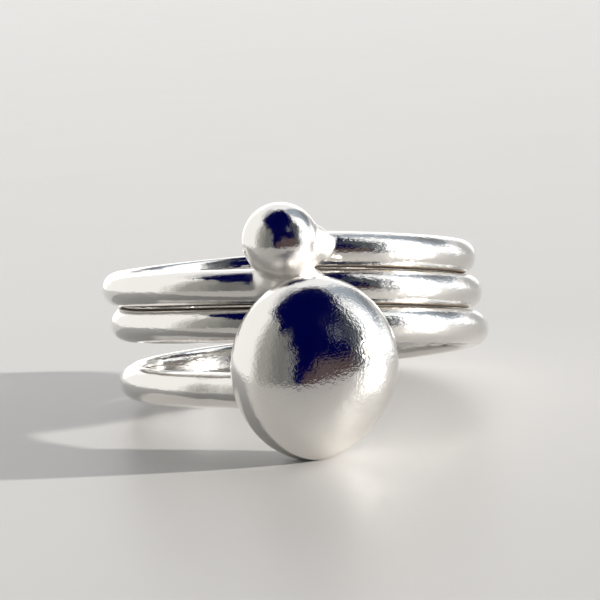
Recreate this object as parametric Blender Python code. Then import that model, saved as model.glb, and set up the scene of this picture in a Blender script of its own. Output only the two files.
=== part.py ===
"""Wrap ring of silver wire, one soldered piece, in metres with +Z up.

Three turns of flattened wire start in a small round ball and end in a large
pebble of melted silver, both on the front. The ring lies on its side, on the
pebble and the back of its last turn.
"""
import math

import bmesh
import bpy
from mathutils import Matrix, Vector

# Wire and coil
FINGER_DIAMETER = 0.01749
WIRE_THICKNESS = 0.00131
CROWN_DEPTH = 0.00085
WIRE_HEIGHT = 0.00180
TURN_GAP = 0.00007
TURN_DRIFT = 0.00032
TURN_TAPER = 0.000045
SIDE_DROOP = 0.00026

# Last turn, which springs open behind and drops to the pebble in front
OPENING = 0.00117
OPENING_TURNS = (2.18, 2.50)
END_DROP = 0.00025
END_DROP_TURNS = (2.67, 3.00)
END_REACH = 0.00110
END_REACH_TURNS = (2.91, 3.00)

# Small ball at the top end of the wire
BALL_DIAMETER = 0.00378
BALL_STAND_OFF = 0.00083
BALL_RISE = 0.00042
BALL_SIDE = -0.00014

# Pebble at the bottom end of the wire
PEBBLE_WIDTH = 0.00812
PEBBLE_HEIGHT = 0.00893
PEBBLE_FRONT_DEPTH = 0.00310
PEBBLE_BACK_DEPTH = 0.00290
PEBBLE_STAND_OFF = 0.00245
PEBBLE_RISE = 0.00123
PEBBLE_SIDE = 0.00033
PEBBLE_SHOULDER = 0.00050
FOOT_DEPTH = 0.00005

# Solder
SOLDER_SIZE = 0.00130
NECK_SIZE = 0.00125

# Fineness of the faceted surfaces
TURNS = 3
STEPS_PER_TURN = 54
SECTION_POINTS = 16
FLAT_INSIDE_POWERS = (0.45, 0.6)
PEBBLE_SHOULDER_DIRECTION = (0.62, -0.35, -0.70)
PEBBLE_SHOULDER_SPREAD = 0.55

# Worked out from the sizes above
COIL_RADIUS = (FINGER_DIAMETER + WIRE_THICKNESS) / 2
PITCH = WIRE_HEIGHT + TURN_GAP
MIDDLE_TURN = TURNS / 2

RING_NAME = "wrap_ring"


def clear_scene():
    """Remove every object that the file starts with."""
    for item in list(bpy.data.objects):
        bpy.data.objects.remove(item, do_unlink=True)


def new_collection(name):
    """Make a collection in the scene."""
    collection = bpy.data.collections.new(name)
    bpy.context.scene.collection.children.link(collection)
    return collection


def silver():
    """Polished silver."""
    material = bpy.data.materials.new("polished_silver")
    material.use_nodes = True
    shader = material.node_tree.nodes["Principled BSDF"]
    shader.inputs["Base Color"].default_value = (0.93, 0.92, 0.89, 1.0)
    shader.inputs["Metallic"].default_value = 1.0
    shader.inputs["Roughness"].default_value = 0.08
    return material


def ease(share):
    """Go smoothly from 0 to 1."""
    share = min(max(share, 0.0), 1.0)
    return share * share * (3.0 - 2.0 * share)


def bend(turn, turns):
    """Tell how far a bend between two turns has gone."""
    start, end = turns
    return ease((turn - start) / (end - start))


def wire_centre(turn):
    """Centre of the wire after so many turns, with the coil's axis upright.

    Turns are counted from the small ball, to the right, round the back and
    home to the front, so whole numbers lie on the front, at -Y.
    """
    angle = 2.0 * math.pi * turn
    from_middle = turn - MIDDLE_TURN
    radius = COIL_RADIUS - TURN_TAPER * from_middle
    radius += END_REACH * bend(turn, END_REACH_TURNS)
    height = -PITCH * from_middle
    height -= SIDE_DROOP * math.sin(angle) ** 2
    height -= OPENING * bend(turn, OPENING_TURNS)
    height -= END_DROP * bend(turn, END_DROP_TURNS)
    return Vector((
        radius * math.sin(angle) + TURN_DRIFT * from_middle,
        -radius * math.cos(angle),
        height,
    ))


def wire_section(guides):
    """Closed profile of the wire: a round crown outside and flatter inside."""
    curve = bpy.data.curves.new("wire_section", "CURVE")
    curve.dimensions = "2D"
    spline = curve.splines.new("POLY")
    spline.points.add(SECTION_POINTS - 1)
    spline.use_cyclic_u = True
    crown_foot = WIRE_THICKNESS / 2 - CROWN_DEPTH
    for index, point in enumerate(spline.points):
        angle = 2.0 * math.pi * index / SECTION_POINTS
        across, along = math.cos(angle), math.sin(angle)
        inside = across < -1e-6
        powers = FLAT_INSIDE_POWERS if inside else (1.0, 1.0)
        depth = WIRE_THICKNESS - CROWN_DEPTH if inside else CROWN_DEPTH
        out = crown_foot + math.copysign(abs(across) ** powers[0], across) * depth
        up = math.copysign(abs(along) ** powers[1], along) * WIRE_HEIGHT / 2
        point.co = (out, up, 0.0, 1.0)
    section = bpy.data.objects.new("wire_section", curve)
    section.hide_render = True
    section.display_type = "WIRE"
    guides.objects.link(section)
    return section


def as_mesh_object(name, source, collection):
    """Turn the evaluated source into a mesh object and remove the source."""
    bpy.context.view_layer.update()
    evaluated = source.evaluated_get(bpy.context.evaluated_depsgraph_get())
    mesh = bpy.data.meshes.new_from_object(evaluated)
    mesh.name = name
    result = bpy.data.objects.new(name, mesh)
    result.matrix_world = source.matrix_world.copy()
    collection.objects.link(result)
    bpy.data.objects.remove(source, do_unlink=True)
    return result


def weld(item, distance=1e-6):
    """Join the loose caps of a body to its walls."""
    shape = bmesh.new()
    shape.from_mesh(item.data)
    bmesh.ops.remove_doubles(shape, verts=shape.verts, dist=distance)
    bmesh.ops.recalc_face_normals(shape, faces=shape.faces)
    shape.to_mesh(item.data)
    shape.free()


def make_coil(collection, guides):
    """Sweep the wire's section along the turns."""
    curve = bpy.data.curves.new("coil", "CURVE")
    curve.dimensions = "3D"
    curve.twist_mode = "Z_UP"
    curve.bevel_mode = "OBJECT"
    curve.bevel_object = wire_section(guides)
    curve.use_fill_caps = True
    spline = curve.splines.new("POLY")
    spline.points.add(TURNS * STEPS_PER_TURN)
    for index, point in enumerate(spline.points):
        point.co = (*wire_centre(index / STEPS_PER_TURN), 1.0)
    path = bpy.data.objects.new("coil_path", curve)
    guides.objects.link(path)
    coil = as_mesh_object("coil", path, collection)
    weld(coil)
    return coil


def make_bead(name, collection, centre, halves, segments, rings):
    """Ball with its own half sizes along X, Y and Z."""
    mesh = bpy.data.meshes.new(name)
    shape = bmesh.new()
    bmesh.ops.create_uvsphere(shape, u_segments=segments, v_segments=rings, radius=1.0)
    bmesh.ops.scale(shape, vec=halves, verts=shape.verts)
    bmesh.ops.translate(shape, vec=centre, verts=shape.verts)
    shape.to_mesh(mesh)
    shape.free()
    bead = bpy.data.objects.new(name, mesh)
    collection.objects.link(bead)
    return bead


def ball_centre():
    """The ball sits a little proud of the wire's top end."""
    return wire_centre(0) + Vector((BALL_SIDE, -BALL_STAND_OFF, BALL_RISE))


def pebble_centre():
    """The pebble hangs in front of the wire's bottom end."""
    return wire_centre(TURNS) + Vector((PEBBLE_SIDE, -PEBBLE_STAND_OFF, PEBBLE_RISE))


def make_pebble(collection):
    """Melted drop: an egg with a fuller front and one flatter shoulder."""
    centre = pebble_centre()
    halves = (PEBBLE_WIDTH / 2, PEBBLE_FRONT_DEPTH, PEBBLE_HEIGHT / 2)
    pebble = make_bead("pebble", collection, Vector(), halves, 30, 20)
    shoulder = Vector(PEBBLE_SHOULDER_DIRECTION).normalized()
    for vertex in pebble.data.vertices:
        spot = vertex.co.copy()
        away = spot.angle(shoulder) / PEBBLE_SHOULDER_SPREAD
        spot -= spot.normalized() * PEBBLE_SHOULDER * math.exp(-away * away)
        if spot.y > 0.0:
            spot.y *= PEBBLE_BACK_DEPTH / PEBBLE_FRONT_DEPTH
        vertex.co = spot + centre
    return pebble


def make_solder(collection):
    """Neck beside the ball, and the beads that join ball, pebble and wire."""
    ball = ball_centre()
    pebble = pebble_centre()
    neck = ball + Vector((BALL_DIAMETER * 0.50, BALL_DIAMETER * 0.10, -BALL_DIAMETER * 0.02))
    neck_halves = (NECK_SIZE * 0.36, NECK_SIZE * 0.48, NECK_SIZE * 0.50)
    seam = ball.lerp(pebble, 0.30)
    seam.y = wire_centre(1).y - WIRE_THICKNESS / 2
    half = SOLDER_SIZE / 2
    right = seam + Vector((half, 0.0, 0.0))
    left = seam + Vector((-half * 1.3, half * 0.3, -half * 0.3))
    return [
        make_bead("neck_solder", collection, neck, neck_halves, 12, 8),
        make_bead("right_solder", collection, right, (half, half, half * 0.9), 12, 8),
        make_bead("left_solder", collection, left, (half, half * 0.8, half * 0.8), 12, 8),
    ]


def fuse(first, others, collection):
    """Join touching bodies into one closed body."""
    for other in others:
        union = first.modifiers.new(other.name, "BOOLEAN")
        union.operation = "UNION"
        union.object = other
    bodies = list(others)
    fused = as_mesh_object(RING_NAME, first, collection)
    for body in bodies:
        bpy.data.objects.remove(body, do_unlink=True)
    return fused


def centre_of_mass(mesh):
    """Centre of the solid inside a closed mesh."""
    volume = 0.0
    moment = Vector()
    mesh.calc_loop_triangles()
    for triangle in mesh.loop_triangles:
        a, b, c = (mesh.vertices[index].co for index in triangle.vertices)
        part = a.dot(b.cross(c)) / 6.0
        volume += part
        moment += (a + b + c) * (part / 4.0)
    return moment / volume


def stands_inside(centre, corners, normal):
    """Tell whether a point lies over a face of the hull."""
    for start, end in zip(corners, corners[1:] + corners[:1]):
        if (end - start).cross(centre - start).dot(normal) < 0.0:
            return False
    return True


def resting_place(points, centre):
    """Turn that lays the ring on the face of its hull under its weight."""
    hull = bmesh.new()
    for point in points:
        hull.verts.new(point)
    bmesh.ops.convex_hull(hull, input=hull.verts)
    hull.normal_update()
    stands = []
    for face in hull.faces:
        corners = [vertex.co.copy() for vertex in face.verts]
        if stands_inside(centre, corners, face.normal):
            stands.append((face.normal.z, face.normal.copy(), corners[0]))
    hull.free()
    _, normal, corner = min(stands, key=lambda stand: stand[0])
    turn = normal.rotation_difference(Vector((0.0, 0.0, -1.0))).to_matrix().to_4x4()
    drop = Matrix.Translation((0.0, 0.0, -(turn @ corner).z))
    return drop @ turn


def cut_foot(mesh):
    """Cut the pebble flat where it stands on the ground."""
    shape = bmesh.new()
    shape.from_mesh(mesh)
    everything = shape.verts[:] + shape.edges[:] + shape.faces[:]
    cut = bmesh.ops.bisect_plane(
        shape, geom=everything, dist=1e-7,
        plane_co=(0.0, 0.0, 0.0), plane_no=(0.0, 0.0, -1.0), clear_outer=True,
    )
    rim = [item for item in cut["geom_cut"] if isinstance(item, bmesh.types.BMEdge)]
    rim = [edge for edge in rim if edge.is_boundary]
    bmesh.ops.contextual_create(shape, geom=rim)
    bmesh.ops.recalc_face_normals(shape, faces=shape.faces)
    shape.to_mesh(mesh)
    shape.free()


def centre_on_ground(mesh):
    """Put the origin under the middle of the ring's box."""
    xs = [vertex.co.x for vertex in mesh.vertices]
    ys = [vertex.co.y for vertex in mesh.vertices]
    middle = Vector(((min(xs) + max(xs)) / 2, (min(ys) + max(ys)) / 2, 0.0))
    mesh.transform(Matrix.Translation(-middle))


def stance_points(coil, pebble):
    """Points that can touch the ground, with the pebble's foot taken off."""
    centre = pebble_centre()
    points = [vertex.co.copy() for vertex in coil.data.vertices]
    for vertex in pebble.data.vertices:
        outward = (vertex.co - centre).normalized()
        points.append(vertex.co - outward * FOOT_DEPTH)
    return points


def build():
    """Make the ring and lay it on the ground."""
    clear_scene()
    ring_collection = new_collection("wrap_ring_parts")
    guides = new_collection("guides")

    coil = make_coil(ring_collection, guides)
    pebble = make_pebble(ring_collection)
    radius = BALL_DIAMETER / 2
    ball = make_bead("ball", ring_collection, ball_centre(), (radius,) * 3, 22, 14)
    solder = make_solder(ring_collection)
    points = stance_points(coil, pebble)

    ring = fuse(coil, [pebble, ball, *solder], ring_collection)
    place = resting_place(points, centre_of_mass(ring.data))
    ring.data.transform(place)
    cut_foot(ring.data)
    centre_on_ground(ring.data)

    ring.data.materials.clear()
    ring.data.materials.append(silver())
    ring.data.shade_smooth()
    ring.data.set_sharp_from_angle(angle=math.radians(50.0))


build()
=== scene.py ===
"""Dresses a coiled silver ring with its ball and pebble, and sets its stage."""
import math
from collections import namedtuple

import bmesh
import bpy
import numpy as np
from bpy.props import FloatProperty, FloatVectorProperty, IntProperty, PointerProperty
from mathutils import Euler, Matrix, Vector


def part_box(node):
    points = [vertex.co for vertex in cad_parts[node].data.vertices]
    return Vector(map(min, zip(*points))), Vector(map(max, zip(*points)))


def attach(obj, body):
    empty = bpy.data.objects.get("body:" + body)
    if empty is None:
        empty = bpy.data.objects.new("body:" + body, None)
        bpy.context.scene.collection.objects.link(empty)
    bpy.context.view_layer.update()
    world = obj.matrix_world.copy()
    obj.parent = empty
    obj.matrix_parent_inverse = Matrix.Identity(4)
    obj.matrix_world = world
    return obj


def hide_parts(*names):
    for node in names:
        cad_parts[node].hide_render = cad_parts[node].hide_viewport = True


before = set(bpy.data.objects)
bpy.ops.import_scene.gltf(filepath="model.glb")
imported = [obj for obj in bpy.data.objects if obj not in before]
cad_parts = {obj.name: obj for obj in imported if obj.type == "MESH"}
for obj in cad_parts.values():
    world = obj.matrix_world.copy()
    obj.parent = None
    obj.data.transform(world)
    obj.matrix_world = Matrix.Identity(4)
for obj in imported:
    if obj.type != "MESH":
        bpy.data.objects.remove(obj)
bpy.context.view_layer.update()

bl_info = {
    "name": "Wrap Ring",
    "version": (1, 0, 0),
    "blender": (4, 5, 0),
    "location": "View3D > Sidebar > Wrap Ring",
    "description": "Makes a coiled silver ring with a ball and a pebble, and its studio",
    "category": "Object",
}

# Names shared by the operators
RING_NODE = "wrap_ring"
RING_BODY = "root"
RING_PIECE = "silver_wrap_ring"
BAND_PIECE = "wound_band"
BALL_PIECE = "small_ball"
PEBBLE_PIECE = "melted_pebble"
SILVER_MATERIAL = "hand_polished_silver"
CREVICE_MARK = "crevice"
SOLDER_MARK = "solder"
GRAIN_MARK = "grain_place"

# How the ring leans as it lies on the pebble and on the back of its last turn
LEAN_DEGREES = (-8.904, 1.548, -0.121)

# How square the wire's inside is, outwards and upwards, where 2 is round
WIRE_INSIDE_POWERS = (2.0 / 0.45, 2.0 / 0.60)

# Where the pebble's shoulder is, how wide it is in radians, and the share of the solder
# flow that the corner between pebble and wire gets
PEBBLE_SHOULDER_DIRECTION = (0.62, -0.35, -0.70)
PEBBLE_SHOULDER_SPREAD = 0.55
PEBBLE_FLOW = 0.7

# The neck, from the ball in ball diameters, and its half sizes in neck sizes
NECK_PLACE = (0.50, 0.10, -0.02)
NECK_SHAPE = (0.36, 0.48, 0.50)

# The fused place, as a share of the way from the ball to the pebble, and its two beads:
# each one's place and half sizes, in half solder sizes
SEAM_SHARE = 0.30
SEAM_BEADS = (
    ((1.0, 0.0, 0.0), (1.0, 1.0, 0.9)),
    ((-1.3, 0.3, -0.3), (1.0, 0.8, 0.8)),
)

# Fineness of ball, pebble and solder before they are joined to the wire
BALL_FINENESS = 6
PEBBLE_FINENESS = 7
SOLDER_FINENESS = 5
PEBBLE_ROUNDS = 12

# How the joined mesh is cut finer in its corners and drawn onto the soldered surface
MERGE_DISTANCE = 1e-7
SMALLEST = 1e-9
NORMAL_STEP = 2e-6
LEAST_SLOPE = 0.2
LONGEST_DRAW = 0.00012
DRAW_ROUNDS = 5
FLOW_EDGE = 2e-7
CORNER_ROUNDS = 4
CORNER_LONGEST = 0.00011
CORNER_SHORTEST = 0.00003
EVEN_ROUNDS = 8
EVEN_SHARE = 0.5
EVEN_DRAW_ROUNDS = 2

# Where the crevices, darkened with tarnish and painted shade, and the solder are marked, as
# lengths or as shares of the crevice's reach and of the ball's radius
CREVICE_CLOSENESS = (0.45, 0.95)
SOLDER_FULL = 0.00004
SOLDER_REACH = (0.0012, 0.0026)
SOLDER_NEARBY = 0.7
BALL_UNDERSIDE = (0.1, 0.5)
BALL_SKIN = 0.2

# Finish of the silver, whose right side is rubbed more roughly than its left
GRAIN_STRETCH = 2.5
RUBBED_SIDE = (0.0006, 0.0026)
RUBBED_GRAIN = (0.75, 1.8)
HAZE_SIZE = 0.0016
HAZE_RANGE = (0.35, 0.72)
TONE_SIZE = 0.0022
TONE_DULL = 0.96
CREVICE_ROUGHNESS = 0.6

# Floor and camera
FLOOR_SEGMENTS = 96
MOTTLE_SCALE = 60.0
MOTTLE_TONES = (0.97, 1.03)
SENSOR_WIDTH = 36.0
CLIP_DISTANCES = (0.005, 20.0)

# Studio surroundings, as directions seen from the ring: 0 degrees is the camera's side
# and 90 degrees the right, and heights are degrees above the floor. Each card is painted
# over those before it, and the ceiling, a round patch that leans to the camera, over all.
DARK = (0.0005, 0.0008, 0.045)
Card = namedtuple("Card", "name left right low high soft wobble colour")
CARDS = (
    Card("ceiling_rim", -200.0, 200.0, 67.0, 96.0, 8.0, 2.0, (0.07, 0.08, 0.085)),
    Card("back_wall_foot", -200.0, 200.0, -40.0, 30.0, 20.0, 0.0, (1.50, 1.49, 1.47)),
    Card("left_window", -152.0, -74.0, -40.0, 70.0, 8.0, 2.0, (1.04, 1.02, 1.00)),
    Card("left_upper", -156.0, -74.0, 54.0, 84.0, 14.0, 2.0, (0.52, 0.52, 0.54)),
    Card("left_wall", -78.0, -20.0, -40.0, 70.0, 22.0, 2.0, (0.37, 0.365, 0.335)),
    Card("left_wall_shade", -52.0, -20.0, -40.0, 70.0, 30.0, 3.0, (0.175, 0.175, 0.17)),
    Card("front_shade", 34.0, 75.0, -40.0, 70.0, 8.0, 6.0, (0.075, 0.085, 0.095)),
    Card("right_window", 78.0, 120.0, -40.0, 46.0, 22.0, 9.0, (1.50, 1.55, 1.60)),
    Card("right_glow", 64.0, 120.0, -40.0, 18.0, 26.0, 10.0, (1.15, 1.17, 1.20)),
    Card("right_screen", 110.0, 152.0, 15.0, 66.0, 10.0, 2.0, (0.38, 0.43, 0.50)),
    Card("right_low", 134.0, 160.0, -40.0, 14.0, 12.0, 2.0, (0.50, 0.50, 0.50)),
    Card("right_shadow", 124.0, 154.0, 20.0, 34.0, 10.0, 2.0, (0.23, 0.24, 0.25)),
    Card("dark_front", -24.0, 48.0, -40.0, 90.0, 4.0, 2.0, DARK),
    Card("dark_step", -30.0, 0.0, 26.0, 90.0, 4.0, 2.0, DARK),
    Card("dark_rise", -52.0, 0.0, 40.0, 90.0, 4.0, 2.0, DARK),
    Card("dark_corner", -96.0, 0.0, 51.5, 90.0, 4.0, 2.0, DARK),
    Card("brown_front", 0.0, 50.0, -40.0, 10.5, 4.0, 4.0, (0.105, 0.075, 0.070)),
    Card("brown_rise", 3.0, 21.0, -40.0, 16.0, 4.0, 4.0, (0.105, 0.078, 0.082)),
    Card("brown_step", -12.0, 4.0, -40.0, 5.0, 4.0, 3.0, (0.09, 0.060, 0.065)),
    Card("grey_lamp", 26.0, 42.0, 33.0, 42.0, 9.0, 3.0, (0.16, 0.17, 0.20)),
)
CARD_WOBBLE = 4.0
WOBBLE_SCALE = 8.0
CEILING_TILT = math.radians(16.0)
CEILING_SIDE = math.radians(-10.0)
CEILING_REACH = 34.0
CEILING_EDGE = 3.0
CEILING_WOBBLE = 8.0
CEILING_COLOUR = (0.0006, 0.0012, 0.047)
BACK_WALL_COLOUR = (1.0, 1.0, 1.01)


class RingSizes(bpy.types.PropertyGroup):
    """Sizes of the ring, with the coil's axis upright and the ball at the front."""

    finger_diameter: FloatProperty(
        name="Finger Diameter", description="Width of the hole for the finger",
        default=0.01749, unit="LENGTH", precision=5)
    wire_thickness: FloatProperty(
        name="Wire Thickness", description="Wire measured from the finger outwards",
        default=0.00131, unit="LENGTH", precision=5)
    crown_depth: FloatProperty(
        name="Crown Depth", description="Depth of the wire's round outside",
        default=0.00085, unit="LENGTH", precision=5)
    wire_height: FloatProperty(
        name="Wire Height", description="Wire measured along the finger",
        default=0.00180, unit="LENGTH", precision=5)
    turn_gap: FloatProperty(
        name="Turn Gap", description="Crevice between neighbouring turns",
        default=0.00007, unit="LENGTH", precision=5)
    turn_drift: FloatProperty(
        name="Turn Drift", description="Step to the right that each turn takes",
        default=0.00032, unit="LENGTH", precision=5)
    turn_taper: FloatProperty(
        name="Turn Taper", description="How much tighter each turn is wound",
        default=0.000045, unit="LENGTH", precision=6)
    side_droop: FloatProperty(
        name="Side Droop", description="How far the turns sag at their sides",
        default=0.00026, unit="LENGTH", precision=5)
    turns: IntProperty(
        name="Turns", description="Turns of wire", default=3, min=1)
    opening: FloatProperty(
        name="Opening", description="How far the last turn springs open",
        default=0.00117, unit="LENGTH", precision=5)
    opening_start: FloatProperty(
        name="Opening Start", description="Turn at which the wire leaves the coil",
        default=2.18)
    opening_end: FloatProperty(
        name="Opening End", description="Turn at which it is fully open",
        default=2.50)
    end_drop: FloatProperty(
        name="End Drop", description="Drop of the wire to the pebble",
        default=0.00025, unit="LENGTH", precision=5)
    end_drop_start: FloatProperty(
        name="End Drop Start", description="Turn at which the drop starts",
        default=2.67)
    end_reach: FloatProperty(
        name="End Reach", description="How far the wire's end reaches into the pebble",
        default=0.00110, unit="LENGTH", precision=5)
    end_reach_start: FloatProperty(
        name="End Reach Start", description="Turn at which the end bends outwards",
        default=2.91)
    ball_diameter: FloatProperty(
        name="Ball Diameter", description="Small ball at the top end",
        default=0.00378, unit="LENGTH", precision=5)
    ball_place: FloatVectorProperty(
        name="Ball Place", description="Ball's centre, from the wire's top end",
        default=(-0.00014, -0.00083, 0.00042), subtype="TRANSLATION", precision=5)
    pebble_width: FloatProperty(
        name="Pebble Width", description="Pebble from left to right",
        default=0.00812, unit="LENGTH", precision=5)
    pebble_height: FloatProperty(
        name="Pebble Height", description="Pebble from top to bottom",
        default=0.00893, unit="LENGTH", precision=5)
    pebble_front: FloatProperty(
        name="Pebble Front", description="Depth of the pebble's front half",
        default=0.00310, unit="LENGTH", precision=5)
    pebble_back: FloatProperty(
        name="Pebble Back", description="Depth of the pebble's back half",
        default=0.00290, unit="LENGTH", precision=5)
    pebble_place: FloatVectorProperty(
        name="Pebble Place", description="Pebble's centre, from the wire's bottom end",
        default=(0.00033, -0.00245, 0.00123), subtype="TRANSLATION", precision=5)
    pebble_shoulder: FloatProperty(
        name="Pebble Shoulder", description="How far the flatter shoulder is drawn in",
        default=0.00050, unit="LENGTH", precision=5)
    solder_size: FloatProperty(
        name="Solder Size", description="Solder between ball, pebble and wire",
        default=0.00130, unit="LENGTH", precision=5)
    neck_size: FloatProperty(
        name="Neck Size", description="Solder neck beside the ball",
        default=0.00125, unit="LENGTH", precision=5)
    solder_flow: FloatProperty(
        name="Solder Flow", description="How widely the solder runs into the corners",
        default=0.00055, unit="LENGTH", precision=5)
    steps_per_turn: IntProperty(
        name="Steps Per Turn", description="Fineness along the wire", default=220, min=12)
    section_points: IntProperty(
        name="Section Points", description="Fineness round the wire", default=36, min=8)


class SilverLook(bpy.types.PropertyGroup):
    """Finish of the silver."""

    colour: FloatVectorProperty(
        name="Silver Colour", description="Colour of the polished silver",
        default=(0.855, 0.84, 0.81), subtype="COLOR")
    # The crevices' dark colour is partly tarnish and partly painted shade where other silver
    # is near
    tarnish_and_shade: FloatVectorProperty(
        name="Tarnish And Shade", description="Colour of the dark crevices between the turns",
        default=(0.22, 0.165, 0.12), subtype="COLOR")
    polish: FloatProperty(
        name="Polish", description="Roughness where the silver is best polished",
        default=0.045, min=0.0, max=1.0, subtype="FACTOR")
    haze: FloatProperty(
        name="Haze", description="Roughness where the polish is worn",
        default=0.15, min=0.0, max=1.0, subtype="FACTOR")
    solder_haze: FloatProperty(
        name="Solder Haze", description="Roughness of the solder in the corners",
        default=0.38, min=0.0, max=1.0, subtype="FACTOR")
    crevice_reach: FloatProperty(
        name="Crevice Reach", description="How far the dark of a crevice reaches",
        default=0.00011, unit="LENGTH", precision=5)
    grain_size: FloatProperty(
        name="Grain Size", description="Size of the fine marks of the file and cloth",
        default=0.00016, unit="LENGTH", precision=5)
    grain_depth: FloatProperty(
        name="Grain Depth", description="Depth of the fine marks",
        default=0.000013, unit="LENGTH", precision=7)
    ripple_size: FloatProperty(
        name="Ripple Size", description="Size of the soft dimples left by melting",
        default=0.0011, unit="LENGTH", precision=5)
    ripple_depth: FloatProperty(
        name="Ripple Depth", description="Depth of the soft dimples",
        default=0.000022, unit="LENGTH", precision=7)


class StudioLook(bpy.types.PropertyGroup):
    """Floor, light and camera."""

    floor_colour: FloatVectorProperty(
        name="Floor Colour", description="Colour of the plain floor",
        default=(0.475, 0.465, 0.45), subtype="COLOR")
    floor_sheen: FloatProperty(
        name="Floor Sheen", description="Roughness of the satin floor",
        default=0.42, min=0.0, max=1.0, subtype="FACTOR")
    floor_bloom: FloatProperty(
        name="Floor Bloom", description="Roughness of the floor's broad second sheen",
        default=0.65, min=0.0, max=1.0, subtype="FACTOR")
    board_radius: FloatProperty(
        name="Board Radius", description="Part of the floor that shows in the silver",
        default=0.060, unit="LENGTH")
    board_shift: FloatProperty(
        name="Board Shift", description="How far that part lies behind the ring",
        default=0.010, unit="LENGTH")
    floor_radius: FloatProperty(
        name="Floor Radius", description="Whole floor",
        default=4.0, unit="LENGTH")
    sun_strength: FloatProperty(
        name="Sun Strength", description="Low key light from the right",
        default=9.4, min=0.0)
    sun_colour: FloatVectorProperty(
        name="Sun Colour", description="Colour of the key light",
        default=(1.0, 0.97, 0.93), subtype="COLOR")
    sun_side: FloatProperty(
        name="Sun Side", description="How far the key light stands in front of the ring",
        default=math.radians(9.5), subtype="ANGLE")
    sun_height: FloatProperty(
        name="Sun Height", description="Key light above the floor",
        default=math.radians(11.55), subtype="ANGLE")
    sun_width: FloatProperty(
        name="Sun Width", description="Apparent width of the key light",
        default=math.radians(2.0), subtype="ANGLE")
    room_light: FloatVectorProperty(
        name="Room Light", description="Even soft light of the room",
        default=(0.455, 0.455, 0.46), subtype="COLOR")
    camera_place: FloatVectorProperty(
        name="Camera Place", description="Where the camera stands",
        default=(0.000568, -0.115241, 0.025658), subtype="TRANSLATION", precision=5)
    camera_side: FloatProperty(
        name="Camera Side", description="Turn of the camera to the side",
        default=math.radians(-0.144), subtype="ANGLE")
    camera_dip: FloatProperty(
        name="Camera Dip", description="How far the camera looks down",
        default=math.radians(9.703), subtype="ANGLE")
    camera_roll: FloatProperty(
        name="Camera Roll", description="Lean of the camera",
        default=math.radians(-3.885), subtype="ANGLE")
    camera_lens: FloatProperty(
        name="Camera Lens", description="Focal length in millimetres",
        default=134.05)


# Shape of the silver


def ease(values, start, end):
    """Go smoothly from 0 at start to 1 at end."""
    share = np.clip((values - start) / (end - start), 0.0, 1.0)
    return share * share * (3.0 - 2.0 * share)


def soft_union(first, second, flow):
    """Distance to two forms whose corner is filled by a fillet."""
    share = np.clip(0.5 + 0.5 * (second - first) / flow, 0.0, 1.0)
    return second + (first - second) * share - flow * share * (1.0 - share)


def bead_distance(points, centre, halves):
    """Rough distance to an ellipsoid, exact on its surface."""
    spot = points - centre
    near = np.linalg.norm(spot / halves, axis=1)
    steep = np.linalg.norm(spot / (halves * halves), axis=1)
    return near * (near - 1.0) / np.maximum(steep, SMALLEST)


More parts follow.
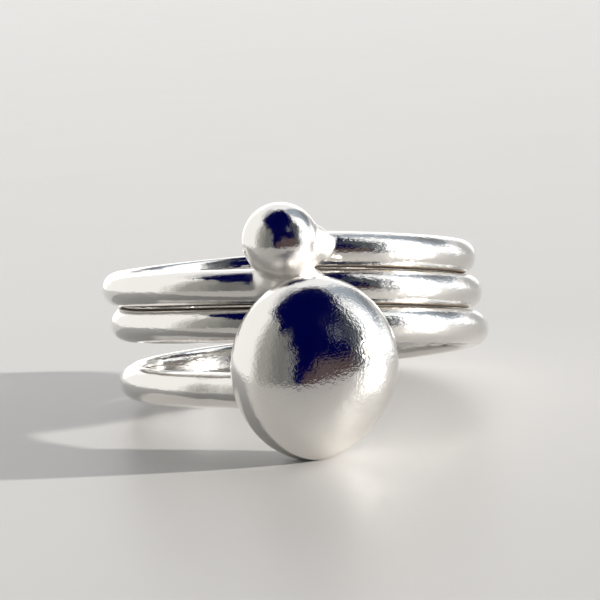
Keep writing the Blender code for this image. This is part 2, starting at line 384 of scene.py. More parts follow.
class SilverForm:
    """The whole ring as a distance field, with the coil's axis upright."""

    def __init__(self, sizes):
        self.sizes = sizes
        self.coil_radius = (sizes.finger_diameter + sizes.wire_thickness) / 2
        self.pitch = sizes.wire_height + sizes.turn_gap
        self.middle = sizes.turns / 2
        top_end = self.wire_centre(np.array([0.0]))[0]
        bottom_end = self.wire_centre(np.array([float(sizes.turns)]))[0]
        self.ball = top_end + np.array(sizes.ball_place)
        self.pebble = bottom_end + np.array(sizes.pebble_place)
        self.beads = self.solder_beads()

    def wire_radius_height(self, turn):
        """Radius and height of the wire's centre."""
        sizes = self.sizes
        from_middle = turn - self.middle
        radius = self.coil_radius - sizes.turn_taper * from_middle
        radius = radius + sizes.end_reach * ease(turn, sizes.end_reach_start, sizes.turns)
        height = -self.pitch * from_middle
        height = height - sizes.side_droop * np.sin(2.0 * np.pi * turn) ** 2
        height = height - sizes.opening * ease(turn, sizes.opening_start, sizes.opening_end)
        height = height - sizes.end_drop * ease(turn, sizes.end_drop_start, sizes.turns)
        return radius, height

    def wire_centre(self, turn):
        """Centre of the wire after so many turns."""
        radius, height = self.wire_radius_height(turn)
        angle = 2.0 * np.pi * turn
        across = radius * np.sin(angle) + self.sizes.turn_drift * (turn - self.middle)
        return np.stack((across, -radius * np.cos(angle), height), axis=1)

    def solder_beads(self):
        """Centres and half sizes of the neck and the fused place."""
        sizes = self.sizes
        neck = self.ball + sizes.ball_diameter * np.array(NECK_PLACE)
        seam = self.ball + SEAM_SHARE * (self.pebble - self.ball)
        seam[1] = self.wire_centre(np.array([1.0]))[0, 1] - sizes.wire_thickness / 2
        half = sizes.solder_size / 2
        fused = [
            (seam + half * np.array(place), half * np.array(shape))
            for place, shape in SEAM_BEADS
        ]
        return [(neck, sizes.neck_size * np.array(NECK_SHAPE)), *fused]

    def wire_distance(self, points):
        """Distance to the wire: round outside and flatter towards the finger."""
        sizes = self.sizes
        half_high = sizes.wire_height / 2
        crest = sizes.wire_thickness / 2 - sizes.crown_depth
        flat_depth = sizes.wire_thickness - sizes.crown_depth
        x, y, z = points.T
        nearest = np.full(len(points), np.inf)
        for lap in range(sizes.turns + 1):
            turn = np.arctan2(x, -y) / (2.0 * np.pi) + lap
            drift = sizes.turn_drift * (turn - self.middle)
            turn = np.arctan2(x - drift, -y) / (2.0 * np.pi) + lap
            kept = np.clip(turn, 0.0, sizes.turns)
            drift = sizes.turn_drift * (kept - self.middle)
            radius, height = self.wire_radius_height(kept)
            out = np.hypot(x - drift, y) - radius - crest
            up = z - height
            inner = out < 0.0
            depth = np.where(inner, flat_depth, sizes.crown_depth)
            out_power = np.where(inner, WIRE_INSIDE_POWERS[0], 2.0)
            up_power = np.where(inner, WIRE_INSIDE_POWERS[1], 2.0)
            level = np.abs(out / depth) ** out_power
            level += np.abs(up / half_high) ** up_power
            level = np.maximum(level, SMALLEST) ** (1.0 / up_power)
            distance = np.hypot(out, up) * (1.0 - 1.0 / level)
            beyond = np.abs(turn - kept) * 2.0 * np.pi * radius
            distance = np.where(beyond > 0.0, np.maximum(distance, beyond), distance)
            nearest = np.minimum(nearest, distance)
        return nearest

    def pebble_distance(self, points):
        """Distance to the melted drop with its flatter shoulder."""
        sizes = self.sizes
        spot = points - self.pebble
        depth = np.where(spot[:, 1] > 0.0, sizes.pebble_back, sizes.pebble_front)
        halves = np.stack(np.broadcast_arrays(
            sizes.pebble_width / 2, depth, sizes.pebble_height / 2), axis=1)
        distance = bead_distance(points, self.pebble, halves)
        shoulder = np.array(PEBBLE_SHOULDER_DIRECTION)
        shoulder /= np.linalg.norm(shoulder)
        length = np.linalg.norm(spot, axis=1, keepdims=True)
        way = spot / np.maximum(length, SMALLEST)
        away = np.arccos(np.clip(way @ shoulder, -1.0, 1.0)) / PEBBLE_SHOULDER_SPREAD
        return distance + sizes.pebble_shoulder * np.exp(-away * away)

    def drawn_onto_pebble(self, points):
        """Points round the pebble drawn in to its flatter back and shoulder."""
        way = points - self.pebble
        way /= np.linalg.norm(way, axis=1, keepdims=True)
        reach = np.full(len(points), self.sizes.pebble_front)
        for _ in range(PEBBLE_ROUNDS):
            reach -= self.pebble_distance(self.pebble + way * reach[:, None])
        return self.pebble + way * reach[:, None]

    def ball_distance(self, points):
        """Distance to the small ball."""
        radius = self.sizes.ball_diameter / 2
        return np.linalg.norm(points - self.ball, axis=1) - radius

    def parts(self, points):
        """Distances to the wire, the pebble, the ball and each bead of solder."""
        beads = [bead_distance(points, centre, halves) for centre, halves in self.beads]
        return [
            self.wire_distance(points),
            self.pebble_distance(points),
            self.ball_distance(points),
            *beads,
        ]

    def distance(self, points):
        """Distance to the finished silver, with its solder run into the corners."""
        wire, pebble, ball, *beads = self.parts(points)
        flow = self.sizes.solder_flow
        whole = soft_union(wire, pebble, flow * PEBBLE_FLOW)
        whole = soft_union(whole, ball, flow)
        for bead in beads:
            whole = soft_union(whole, bead, flow)
        return whole

    def grain_places(self, points):
        """Where to look the fine marks up: drawn out along the wire, as it was drawn."""
        x, y, z = points.T
        turn = np.arctan2(x, -y) / (2.0 * np.pi)
        _, first = self.wire_radius_height(turn)
        lap = np.clip(np.round((first - z) / self.pitch), 0, self.sizes.turns)
        turn = np.clip(turn + lap, 0.0, self.sizes.turns)
        radius, height = self.wire_radius_height(turn)
        drift = self.sizes.turn_drift * (turn - self.middle)
        along = turn * 2.0 * np.pi * self.coil_radius / GRAIN_STRETCH
        out = np.hypot(x - drift, y) - radius
        on_wire = np.argmin(np.stack(self.parts(points)), axis=0) == 0
        return np.where(on_wire[:, None], np.stack((along, out, z - height), axis=1), points)

    def flow_amount(self, points):
        """How far the solder stands out of the plain corner."""
        plain = np.min(np.stack(self.parts(points)), axis=0)
        return plain - self.distance(points)

    def distance_and_normal(self, points):
        """Distance and outward normal at each point."""
        slope = np.empty_like(points)
        for axis in range(3):
            step = np.zeros(3)
            step[axis] = NORMAL_STEP
            ahead = self.distance(points + step)
            behind = self.distance(points - step)
            slope[:, axis] = (ahead - behind) / (2.0 * NORMAL_STEP)
        steep = np.maximum(np.linalg.norm(slope, axis=1), LEAST_SLOPE)
        return self.distance(points) / steep, slope / steep[:, None]

    def drawn_onto(self, points, rounds=DRAW_ROUNDS):
        """Points drawn onto the finished surface, and their normals."""
        spot = points.copy()
        for _ in range(rounds):
            distance, normal = self.distance_and_normal(spot)
            distance = np.clip(distance, -LONGEST_DRAW, LONGEST_DRAW)
            spot -= normal * distance[:, None]
        _, normal = self.distance_and_normal(spot)
        return spot, normal


# Node helpers


def set_or_link(tree, socket, value):
    """Give a socket a value or link another socket to it."""
    if isinstance(value, bpy.types.NodeSocket):
        tree.links.new(value, socket)
    else:
        socket.default_value = value


def added(tree, kind, **given):
    """New node whose named inputs are given values or links."""
    node = tree.nodes.new(kind)
    for name, value in given.items():
        set_or_link(tree, node.inputs[name], value)
    return node


def math_step(tree, operation, *values):
    """Math node, given numbers or sockets."""
    node = tree.nodes.new("ShaderNodeMath")
    node.operation = operation
    for socket, value in zip(node.inputs, values):
        set_or_link(tree, socket, value)
    return node.outputs[0]


def ranged(tree, value, start, end, low, high, way="LINEAR"):
    """Value that goes from low at start to high at end."""
    node = added(tree, "ShaderNodeMapRange", **{
        "Value": value, "From Min": start, "From Max": end, "To Min": low, "To Max": high})
    node.interpolation_type = way
    return node.outputs["Result"]


def ease_step(tree, value, start, end, height=1.0):
    """Value that eases from 0 at start to the height at end."""
    return ranged(tree, value, start, end, 0.0, height, "SMOOTHSTEP")


def split(tree, vector):
    """The X, Y and Z of a vector."""
    return added(tree, "ShaderNodeSeparateXYZ", Vector=vector).outputs


# The wound band, in Geometry Nodes

COIL_INPUTS = (
    "Finger Diameter", "Wire Thickness", "Crown Depth", "Wire Height", "Turn Gap",
    "Turn Drift", "Turn Taper", "Side Droop", "Turns", "Opening", "Opening Start",
    "Opening End", "End Drop", "End Drop Start", "End Reach", "End Reach Start",
    "Steps Per Turn", "Section Points",
)
WHOLE_INPUTS = ("Turns", "Steps Per Turn", "Section Points")
SECTION_SLACK = 1e-6


def powered(tree, value, power):
    """Signed power of a value."""
    size = math_step(tree, "ABSOLUTE", value)
    side = math_step(tree, "SIGN", value)
    return math_step(tree, "MULTIPLY", side, math_step(tree, "POWER", size, power))


def coil_tree():
    """Tree that winds the wire: a line bent into turns and swept with a section."""
    tree = bpy.data.node_groups.new("Wound Band", "GeometryNodeTree")
    for name in COIL_INPUTS:
        kind = "NodeSocketInt" if name in WHOLE_INPUTS else "NodeSocketFloat"
        tree.interface.new_socket(name, in_out="INPUT", socket_type=kind)
    tree.interface.new_socket("Silver", in_out="INPUT", socket_type="NodeSocketMaterial")
    tree.interface.new_socket("Band", in_out="OUTPUT", socket_type="NodeSocketGeometry")
    given = tree.nodes.new("NodeGroupInput").outputs

    def step(operation, *values):
        return math_step(tree, operation, *values)

    def add(kind, **values):
        return added(tree, kind, **values).outputs

    count = step("MULTIPLY_ADD", given["Turns"], given["Steps Per Turn"], 1.0)
    line = add("GeometryNodeCurvePrimitiveLine")["Curve"]
    line = add("GeometryNodeResampleCurve", Curve=line, Count=count)["Curve"]
    share = add("GeometryNodeSplineParameter")["Factor"]
    turn = step("MULTIPLY", share, given["Turns"])
    angle = step("MULTIPLY", turn, 2.0 * math.pi)
    sine = step("SINE", angle)
    from_middle = step("SUBTRACT", turn, step("DIVIDE", given["Turns"], 2.0))
    across_middle = step("ADD", given["Finger Diameter"], given["Wire Thickness"])
    radius = step("DIVIDE", across_middle, 2.0)
    radius = step("SUBTRACT", radius, step("MULTIPLY", given["Turn Taper"], from_middle))
    reach = ease_step(
        tree, turn, given["End Reach Start"], given["Turns"], given["End Reach"])
    radius = step("ADD", radius, reach)
    pitch = step("ADD", given["Wire Height"], given["Turn Gap"])
    sag = step("MULTIPLY", given["Side Droop"], step("MULTIPLY", sine, sine))
    opening = ease_step(
        tree, turn, given["Opening Start"], given["Opening End"], given["Opening"])
    drop = ease_step(tree, turn, given["End Drop Start"], given["Turns"], given["End Drop"])
    fall = step("ADD", step("MULTIPLY", pitch, from_middle), sag)
    fall = step("ADD", fall, step("ADD", opening, drop))
    aside = step("MULTIPLY", given["Turn Drift"], from_middle)
    back = step("MULTIPLY", radius, step("COSINE", angle))
    place = add(
        "ShaderNodeCombineXYZ", X=step("MULTIPLY_ADD", radius, sine, aside),
        Y=step("MULTIPLY", back, -1.0), Z=step("MULTIPLY", fall, -1.0))["Vector"]
    coil = add("GeometryNodeSetPosition", Geometry=line, Position=place)["Geometry"]
    upright = added(tree, "GeometryNodeSetCurveNormal", Curve=coil)
    upright.mode = "Z_UP"

    circle = add(
        "GeometryNodeCurvePrimitiveCircle", Radius=1.0, Resolution=given["Section Points"])
    spot = split(tree, add("GeometryNodeInputPosition")["Position"])
    inner = step("LESS_THAN", spot["X"], -SECTION_SLACK)
    out_power = step("MULTIPLY_ADD", inner, 2.0 / WIRE_INSIDE_POWERS[0] - 1.0, 1.0)
    up_power = step("MULTIPLY_ADD", inner, 2.0 / WIRE_INSIDE_POWERS[1] - 1.0, 1.0)
    out = powered(tree, spot["X"], out_power)
    up = powered(tree, spot["Y"], up_power)
    crown = given["Crown Depth"]
    half_thick = step("DIVIDE", given["Wire Thickness"], 2.0)
    half_high = step("DIVIDE", given["Wire Height"], 2.0)
    flat_depth = step("SUBTRACT", given["Wire Thickness"], crown)
    more = step("SUBTRACT", flat_depth, crown)
    depth = step("MULTIPLY_ADD", inner, more, crown)
    crest = step("SUBTRACT", half_thick, crown)
    edge = add(
        "ShaderNodeCombineXYZ", X=step("MULTIPLY_ADD", out, depth, crest),
        Y=step("MULTIPLY", up, half_high))["Vector"]
    section = add(
        "GeometryNodeSetPosition", Geometry=circle["Curve"], Position=edge)["Geometry"]

    sweep = add("GeometryNodeCurveToMesh", **{
        "Curve": upright.outputs["Curve"], "Profile Curve": section, "Fill Caps": True})
    real = add("GeometryNodeRealizeInstances", Geometry=sweep["Mesh"])
    finish = add(
        "GeometryNodeSetMaterial", Geometry=real["Geometry"], Material=given["Silver"])
    added(tree, "NodeGroupOutput", Band=finish["Geometry"])
    return tree


# Mesh helpers


def new_piece(name, data):
    """Object in the scene for a mesh, a light or a camera."""
    piece = bpy.data.objects.new(name, data)
    bpy.context.scene.collection.objects.link(piece)
    return piece


def evaluated_mesh(piece):
    """Plain mesh of a piece with its modifiers."""
    bpy.context.view_layer.update()
    graph = bpy.context.evaluated_depsgraph_get()
    return bpy.data.meshes.new_from_object(piece.evaluated_get(graph))


def remove_piece(piece):
    """Take a piece and its mesh out of the file."""
    mesh = piece.data
    bpy.data.objects.remove(piece, do_unlink=True)
    bpy.data.meshes.remove(mesh)


def close_ends(mesh):
    """Join loose caps to their walls, with the faces pointing outwards."""
    shape = bmesh.new()
    shape.from_mesh(mesh)
    bmesh.ops.remove_doubles(shape, verts=shape.verts, dist=MERGE_DISTANCE)
    bmesh.ops.recalc_face_normals(shape, faces=shape.faces)
    shape.to_mesh(mesh)
    shape.free()


def bead_piece(name, centre, halves, fineness):
    """Closed ball with its own half sizes."""
    shape = bmesh.new()
    bmesh.ops.create_icosphere(shape, subdivisions=fineness, radius=1.0)
    bmesh.ops.scale(shape, vec=Vector(halves), verts=shape.verts)
    bmesh.ops.translate(shape, vec=Vector(centre), verts=shape.verts)
    mesh = bpy.data.meshes.new(name)
    shape.to_mesh(mesh)
    shape.free()
    return new_piece(name, mesh)


def vertex_places(mesh):
    """Vertex positions as an array of doubles."""
    places = np.empty(len(mesh.vertices) * 3, dtype=np.float32)
    mesh.vertices.foreach_get("co", places)
    return places.reshape(-1, 3).astype(float)


def set_vertex_places(mesh, places):
    """Write vertex positions back."""
    mesh.vertices.foreach_set("co", places.astype(np.float32).ravel())
    mesh.update()


def edge_ends(mesh):
    """Vertex numbers at both ends of each edge."""
    ends = np.empty(len(mesh.edges) * 2, dtype=np.int32)
    mesh.edges.foreach_get("vertices", ends)
    return ends.reshape(-1, 2)


def in_corners(shape, form):
    """For each vertex, whether it is where the solder will run."""
    shape.verts.index_update()
    places = np.array([vertex.co for vertex in shape.verts])
    return form.flow_amount(places) > FLOW_EDGE


def refine_corners(mesh, form):
    """Cut the triangles finer where the solder will run."""
    shape = bmesh.new()
    shape.from_mesh(mesh)
    bmesh.ops.triangulate(shape, faces=shape.faces)
    for _ in range(CORNER_ROUNDS):
        flowing = in_corners(shape, form)
        long_edges = [
            edge for edge in shape.edges
            if edge.calc_length() > CORNER_LONGEST
            and (flowing[edge.verts[0].index] or flowing[edge.verts[1].index])
        ]
        if not long_edges:
            break
        bmesh.ops.subdivide_edges(shape, edges=long_edges, cuts=1)
        bmesh.ops.triangulate(
            shape, faces=[face for face in shape.faces if len(face.verts) > 3])
    flowing = in_corners(shape, form)
    crowded = [vertex for vertex in shape.verts if flowing[vertex.index]]
    bmesh.ops.remove_doubles(shape, verts=crowded, dist=CORNER_SHORTEST)
    bmesh.ops.dissolve_degenerate(shape, edges=shape.edges, dist=MERGE_DISTANCE)
    bmesh.ops.triangulate(shape, faces=shape.faces)
    shape.to_mesh(mesh)
    shape.free()


def run_solder(mesh, form):
    """Draw every vertex onto the soldered surface and even out the corners."""
    refine_corners(mesh, form)
    places, normals = form.drawn_onto(vertex_places(mesh))
    ends = edge_ends(mesh)
    joined = np.bincount(ends.ravel(), minlength=len(places))[:, None]
    moving = form.flow_amount(places) > FLOW_EDGE
    for _ in range(EVEN_ROUNDS):
        total = np.zeros_like(places)
        for here, there in (ends.T, ends.T[::-1]):
            for axis in range(3):
                total[:, axis] += np.bincount(
                    here, weights=places[there, axis], minlength=len(places))
        shift = total / np.maximum(joined, 1) - places
        shift -= normals * np.sum(shift * normals, axis=1, keepdims=True)
        places[moving] += EVEN_SHARE * shift[moving]
        places[moving], normals[moving] = form.drawn_onto(places[moving], EVEN_DRAW_ROUNDS)
    return places, normals


def mark(mesh, name, amounts, kind="FLOAT", field="value"):
    """Keep an amount or a place at each vertex for the material."""
    attribute = mesh.attributes.new(name, kind, "POINT")
    attribute.data.foreach_set(field, amounts.astype(np.float32).ravel())


def mark_finish(mesh, form, places, normals, reach):
    """Mark the crevices, where other silver is near, for tarnish and painted shade, the solder
    and the fine marks.
    """
    # Closeness of other silver along the normal, for the crevices' tarnish and painted shade
    room = form.distance(places + normals * reach) / reach
    mark(mesh, CREVICE_MARK, ease(1.0 - room, *CREVICE_CLOSENESS))
    flowed = ease(form.flow_amount(places), 0.0, SOLDER_FULL)
    _, (right, _), (left, _) = form.beads
    far = np.linalg.norm(places - (right + left) / 2, axis=1)
    near = 1.0 - ease(far, *SOLDER_REACH)
    radius = form.sizes.ball_diameter / 2
    start, end = BALL_UNDERSIDE
    under = ease(form.ball[2] - places[:, 2], start * radius, end * radius)
    under *= 1.0 - ease(form.ball_distance(places), 0.0, BALL_SKIN * radius)
    mark(mesh, SOLDER_MARK, np.maximum(flowed, np.maximum(SOLDER_NEARBY * near, under)))
    mark(mesh, GRAIN_MARK, form.grain_places(places), "FLOAT_VECTOR", "vector")


def lay_down(places, normals):
    """Lean the ring as it lies, and put it where the frame has it."""
    lean = np.array(Euler([math.radians(angle) for angle in LEAN_DEGREES]).to_matrix())
    places = places @ lean.T
    normals = normals @ lean.T
    low, high = (np.array(corner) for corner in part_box(RING_NODE))
    middle = (low + high) / 2
    own_middle = (places.min(axis=0) + places.max(axis=0)) / 2
    shift = middle - own_middle
    shift[2] = high[2] - places[:, 2].max()
    places = places + shift
    foot = places[:, 2] < 0.0
    places[foot, 2] = 0.0
    normals[foot] = (0.0, 0.0, -1.0)
    return places, normals


# Materials


def noise(tree, vector, scale, detail=2.0, roughness=0.5):
    """Noise texture on a vector."""
    return added(
        tree, "ShaderNodeTexNoise", Vector=vector, Scale=scale, Detail=detail,
        Roughness=roughness).outputs["Fac"]


def marked(tree, name, output="Fac"):
    """Amount or place that was kept at the vertices."""
    node = tree.nodes.new("ShaderNodeAttribute")
    node.attribute_name = name
    return node.outputs[output]


def mixed(tree, factor, first, second, kind="RGBA"):
    """Mix of two colours or two numbers, either of which may be a socket."""
    node = tree.nodes.new("ShaderNodeMix")
    node.data_type = kind
    tree.links.new(factor, node.inputs["Factor"])
    for name, value in (("A", first), ("B", second)):
        if kind == "RGBA" and not isinstance(value, bpy.types.NodeSocket):
            value = (*value, 1.0)
        set_or_link(tree, node.inputs[name], value)
    return node.outputs["Result"]


def bump(tree, height, depth, **normal):
    """Surface raised by the height times so many metres, on a normal if one is given."""
    return added(
        tree, "ShaderNodeBump", Height=height, Strength=1.0, Distance=depth,
        **normal).outputs["Normal"]


def new_material(name):
    """Material with its tree, its shader and the piece's own coordinates."""
    material = bpy.data.materials.new(name)
    material.use_nodes = True
    tree = material.node_tree
    where = tree.nodes.new("ShaderNodeTexCoord").outputs["Object"]
    return material, tree, tree.nodes["Principled BSDF"], where


def hand_polished_silver(look):
    """Hand-polished silver: a mirror with soft dimples, fine marks and haze."""
    material = bpy.data.materials.get(SILVER_MATERIAL)
    if material is not None:
        return material
    material, tree, shader, where = new_material(SILVER_MATERIAL)
    shader.inputs["Metallic"].default_value = 1.0

    crevice = marked(tree, CREVICE_MARK)
    solder = marked(tree, SOLDER_MARK)
    haze = noise(tree, where, 1.0 / HAZE_SIZE, detail=4.0, roughness=0.6)
    rough = ranged(tree, haze, *HAZE_RANGE, look.polish, look.haze)
    rough = mixed(tree, solder, rough, look.solder_haze, "FLOAT")
    rough = mixed(tree, crevice, rough, CREVICE_ROUGHNESS, "FLOAT")
    tree.links.new(rough, shader.inputs["Roughness"])

    tone = noise(tree, where, 1.0 / TONE_SIZE)
    colour = Vector(look.colour)
    clean = mixed(tree, tone, colour * TONE_DULL, colour)
    # Crevices darken towards the tarnish colour where other silver is near: partly tarnish,
    # partly painted shade
    tree.links.new(mixed(tree, crevice, clean, look.tarnish_and_shade), shader.inputs["Base Color"])

    ripple = noise(tree, where, 1.0 / look.ripple_size, detail=1.0)
    drawn = marked(tree, GRAIN_MARK, "Vector")
    grain = noise(tree, drawn, 1.0 / look.grain_size, roughness=0.65)
    rubbed = ranged(tree, split(tree, where)["X"], *RUBBED_SIDE, *RUBBED_GRAIN)
    grain = math_step(tree, "MULTIPLY", grain, rubbed)
    soft = bump(tree, ripple, look.ripple_depth)
    marks = bump(tree, grain, look.grain_depth, Normal=soft)
    tree.links.new(marks, shader.inputs["Normal"])
    return material


def satin_floor(look):
    """Plain pale satin floor with a barely visible mottle."""
    material, tree, shader, where = new_material("satin_floor")
    mottle = noise(tree, where, MOTTLE_SCALE, detail=3.0)
    colour = Vector(look.floor_colour)
    dark, light = (colour * tone for tone in MOTTLE_TONES)
    tree.links.new(mixed(tree, mottle, dark, light), shader.inputs["Base Color"])
    shader.inputs["Roughness"].default_value = look.floor_sheen
    shader.inputs["Coat Weight"].default_value = 1.0
    shader.inputs["Coat Roughness"].default_value = look.floor_bloom
    return material


# Studio


def card_weight(tree, side, height, card):
    """How much of a card shows in a direction, with soft edges."""
    soft = card.soft / 2
    weight = ease_step(tree, side, card.left - soft, card.left + soft)
    for edge in (
        ease_step(tree, side, card.right + soft, card.right - soft),
        ease_step(tree, height, card.low - soft, card.low + soft),
        ease_step(tree, height, card.high + soft, card.high - soft),
    ):
        weight = math_step(tree, "MULTIPLY", weight, edge)
    return weight


def surroundings(tree):
    """Colour of the studio in each direction, one card painted over the next."""
    way = tree.nodes.new("ShaderNodeTexCoord").outputs["Generated"]
    axes = split(tree, way)
    front = math_step(tree, "MULTIPLY", axes["Y"], -1.0)
    side = math_step(tree, "DEGREES", math_step(tree, "ARCTAN2", axes["X"], front))
    height = math_step(tree, "DEGREES", math_step(tree, "ARCSINE", axes["Z"]))
    uneven = noise(tree, way, WOBBLE_SCALE, detail=4.0, roughness=0.6)
    uneven = math_step(tree, "SUBTRACT", uneven, 0.5)
    painted = BACK_WALL_COLOUR
    for card in CARDS:
        wobble = card.wobble * CARD_WOBBLE
        shifted_side = math_step(tree, "MULTIPLY_ADD", uneven, wobble, side)
        shifted_height = math_step(tree, "MULTIPLY_ADD", uneven, wobble, height)
        weight = card_weight(tree, shifted_side, shifted_height, card)
        painted = mixed(tree, weight, painted, card.colour)
        painted.node.label = card.name
    lean = tree.nodes.new("ShaderNodeVectorMath")
    lean.operation = "DOT_PRODUCT"
    tree.links.new(way, lean.inputs[0])
    lean.inputs[1].default_value = (
        math.sin(CEILING_TILT) * math.sin(CEILING_SIDE),
        -math.sin(CEILING_TILT) * math.cos(CEILING_SIDE),
        math.cos(CEILING_TILT),
    )
    away = math_step(tree, "DEGREES", math_step(tree, "ARCCOSINE", lean.outputs["Value"]))
    away = math_step(tree, "MULTIPLY_ADD", uneven, -CEILING_WOBBLE, away)
    ceiling = ease_step(tree, away, CEILING_REACH + CEILING_EDGE, CEILING_REACH - CEILING_EDGE)
    return mixed(tree, ceiling, painted, CEILING_COLOUR)


def studio_world(look):
    """Even light for the room, and the surroundings that show only in reflections."""
    world = bpy.data.worlds.new("studio")
    world.use_nodes = True
    world.cycles.sampling_method = "NONE"
    tree = world.node_tree
    reflected = tree.nodes.new("ShaderNodeLightPath").outputs["Is Glossy Ray"]
    colour = mixed(tree, reflected, look.room_light, surroundings(tree))
    tree.links.new(colour, tree.nodes["Background"].inputs["Color"])
    bpy.context.scene.world = world


def floor_piece(name, inner, outer, shift, material):
    """Flat disc of floor, or a flat ring where it has an inner radius."""
    shape = bmesh.new()
    angles = np.arange(FLOOR_SEGMENTS) * 2.0 * math.pi / FLOOR_SEGMENTS
    rims = [
        [
            shape.verts.new((radius * math.cos(angle), radius * math.sin(angle) + shift, 0.0))
            for angle in angles
        ]
        for radius in (inner, outer) if radius > 0.0
    ]
    if inner > 0.0:
        near, far = rims
        for index in range(FLOOR_SEGMENTS):
            shape.faces.new((near[index - 1], far[index - 1], far[index], near[index]))
    else:
        shape.faces.new(rims[0])
    mesh = bpy.data.meshes.new(name)
    shape.to_mesh(mesh)
    shape.free()
    mesh.materials.append(material)
    floor = new_piece(name, mesh)
    return floor


def key_light(look):
    """Low sun from the right."""
    light = bpy.data.lights.new("key_light", "SUN")
    light.energy = look.sun_strength
    light.color = look.sun_colour
    light.angle = look.sun_width
    lamp = new_piece("key_light", light)
    level = math.cos(look.sun_height)
    shine = Vector((
        -math.cos(look.sun_side) * level,
        math.sin(look.sun_side) * level,
        -math.sin(look.sun_height),
    ))
    lamp.rotation_euler = shine.to_track_quat("-Z", "Y").to_euler()


def photo_camera(look):
    """Camera low in front of the ring, leaning a little."""
    data = bpy.data.cameras.new("camera")
    data.sensor_width = SENSOR_WIDTH
    data.lens = look.camera_lens
    data.clip_start, data.clip_end = CLIP_DISTANCES
    camera = new_piece("camera", data)
    level = math.cos(look.camera_dip)
    ahead = Vector((
        math.sin(look.camera_side) * level,
        math.cos(look.camera_side) * level,
        -math.sin(look.camera_dip),
    ))
    right = ahead.cross(Vector((0.0, 0.0, 1.0))).normalized()
    up = right.cross(ahead)
    roll = look.camera_roll
    leaning_right = right * math.cos(roll) + up * math.sin(roll)
    leaning_up = up * math.cos(roll) - right * math.sin(roll)
    turn = Matrix((leaning_right, leaning_up, -ahead)).transposed().to_4x4()
    camera.matrix_world = Matrix.Translation(look.camera_place) @ turn
    bpy.context.scene.camera = camera


# Operators


class RINGMAKER_OT_wind_band(bpy.types.Operator):
    """Wind the wire into its three turns"""

    bl_idname = "ringmaker.wind_band"
    bl_label = "Wind Band"

    def execute(self, context):
        sizes = context.scene.ring_sizes
        tree = coil_tree()
        band = new_piece(BAND_PIECE, bpy.data.meshes.new(BAND_PIECE))
        winding = band.modifiers.new("Winding", "NODES")
        winding.node_group = tree
        sockets = {
            item.name: item.identifier for item in tree.interface.items_tree
            if item.item_type == "SOCKET" and item.in_out == "INPUT"
        }
        for name in COIL_INPUTS:
            winding[sockets[name]] = getattr(sizes, name.lower().replace(" ", "_"))
        winding[sockets["Silver"]] = hand_polished_silver(context.scene.silver_look)
        mesh = evaluated_mesh(band)
        band.modifiers.remove(winding)
        empty = band.data
        band.data = mesh
        bpy.data.meshes.remove(empty)
        close_ends(mesh)
        return {"FINISHED"}


class RINGMAKER_OT_melt_ends(bpy.types.Operator):
    """Make the small ball, the pebble and the solder at the wire's ends"""

    bl_idname = "ringmaker.melt_ends"
    bl_label = "Melt Ends"

    def execute(self, context):
        sizes = context.scene.ring_sizes
        form = SilverForm(sizes)
        radius = sizes.ball_diameter / 2
        bead_piece(BALL_PIECE, form.ball, (radius, radius, radius), BALL_FINENESS)
        halves = (sizes.pebble_width / 2, sizes.pebble_front, sizes.pebble_height / 2)
        pebble = bead_piece(PEBBLE_PIECE, form.pebble, halves, PEBBLE_FINENESS)
        places = form.drawn_onto_pebble(vertex_places(pebble.data))
        set_vertex_places(pebble.data, places)
        for index, (centre, bead_halves) in enumerate(form.beads):
            bead_piece(f"solder_{index}", centre, bead_halves, SOLDER_FINENESS)
        return {"FINISHED"}


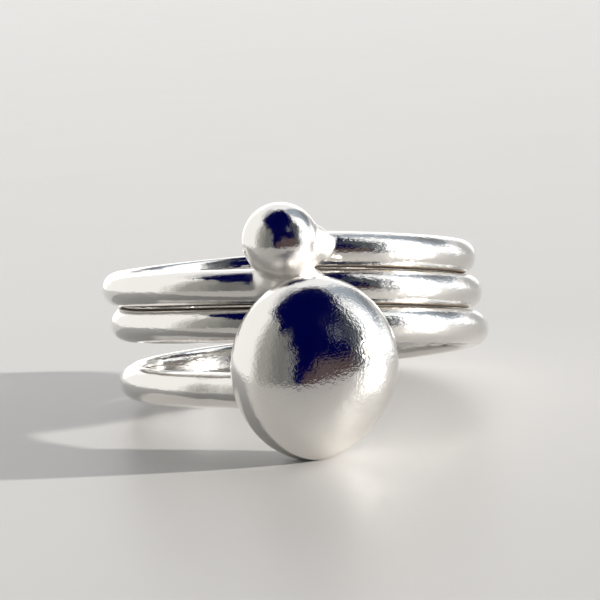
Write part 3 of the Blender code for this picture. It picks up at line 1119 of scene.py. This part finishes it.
class RINGMAKER_OT_solder_ring(bpy.types.Operator):
    """Join band, ball and pebble, run the solder and lay the ring down"""

    bl_idname = "ringmaker.solder_ring"
    bl_label = "Solder Ring"

    def execute(self, context):
        sizes = context.scene.ring_sizes
        form = SilverForm(sizes)
        band = bpy.data.objects[BAND_PIECE]
        names = [PEBBLE_PIECE, BALL_PIECE]
        names += [f"solder_{index}" for index in range(len(form.beads))]
        others = [bpy.data.objects[name] for name in names]
        for other in others:
            union = band.modifiers.new(other.name, "BOOLEAN")
            union.operation = "UNION"
            union.solver = "MANIFOLD"
            union.object = other
        mesh = evaluated_mesh(band)
        mesh.name = RING_PIECE
        for piece in [band, *others]:
            remove_piece(piece)

        look = context.scene.silver_look
        places, normals = run_solder(mesh, form)
        mark_finish(mesh, form, places, normals, look.crevice_reach)
        places, normals = lay_down(places, normals)
        set_vertex_places(mesh, places)
        mesh.shade_smooth()
        mesh.normals_split_custom_set_from_vertices(normals.astype(np.float32))
        mesh.materials.clear()
        mesh.materials.append(hand_polished_silver(look))
        ring = new_piece(RING_PIECE, mesh)
        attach(ring, RING_BODY)
        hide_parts(RING_NODE)
        return {"FINISHED"}


class RINGMAKER_OT_set_stage(bpy.types.Operator):
    """Lay the floor and set the light and the camera"""

    bl_idname = "ringmaker.set_stage"
    bl_label = "Set Stage"

    def execute(self, context):
        look = context.scene.studio_look
        satin = satin_floor(look)
        floor_piece("floor_board", 0.0, look.board_radius, look.board_shift, satin)
        outer = floor_piece(
            "floor_beyond", look.board_radius, look.floor_radius, look.board_shift, satin)
        outer.visible_glossy = False
        studio_world(look)
        key_light(look)
        photo_camera(look)
        context.scene.view_settings.view_transform = "Standard"
        return {"FINISHED"}


STEPS = (
    RINGMAKER_OT_wind_band,
    RINGMAKER_OT_melt_ends,
    RINGMAKER_OT_solder_ring,
    RINGMAKER_OT_set_stage,
)


class RINGMAKER_PT_sidebar(bpy.types.Panel):
    """Lists the steps of the ring"""

    bl_idname = "RINGMAKER_PT_sidebar"
    bl_label = "Wrap Ring"
    bl_space_type = "VIEW_3D"
    bl_region_type = "UI"
    bl_category = "Wrap Ring"

    def draw(self, context):
        column = self.layout.column(align=True)
        for step in STEPS:
            column.operator(step.bl_idname)


CLASSES = (RingSizes, SilverLook, StudioLook, *STEPS, RINGMAKER_PT_sidebar)


def register():
    """Register the classes and put their settings on the scene."""
    for each in CLASSES:
        bpy.utils.register_class(each)
    bpy.types.Scene.ring_sizes = PointerProperty(type=RingSizes)
    bpy.types.Scene.silver_look = PointerProperty(type=SilverLook)
    bpy.types.Scene.studio_look = PointerProperty(type=StudioLook)


def unregister():
    """Take the settings and the classes away again."""
    del bpy.types.Scene.studio_look
    del bpy.types.Scene.silver_look
    del bpy.types.Scene.ring_sizes
    for each in reversed(CLASSES):
        bpy.utils.unregister_class(each)


def main():
    """Make the ring and its stage."""
    register()
    bpy.ops.ringmaker.wind_band()
    bpy.ops.ringmaker.melt_ends()
    bpy.ops.ringmaker.solder_ring()
    bpy.ops.ringmaker.set_stage()


if __name__ == "__main__":
    main()
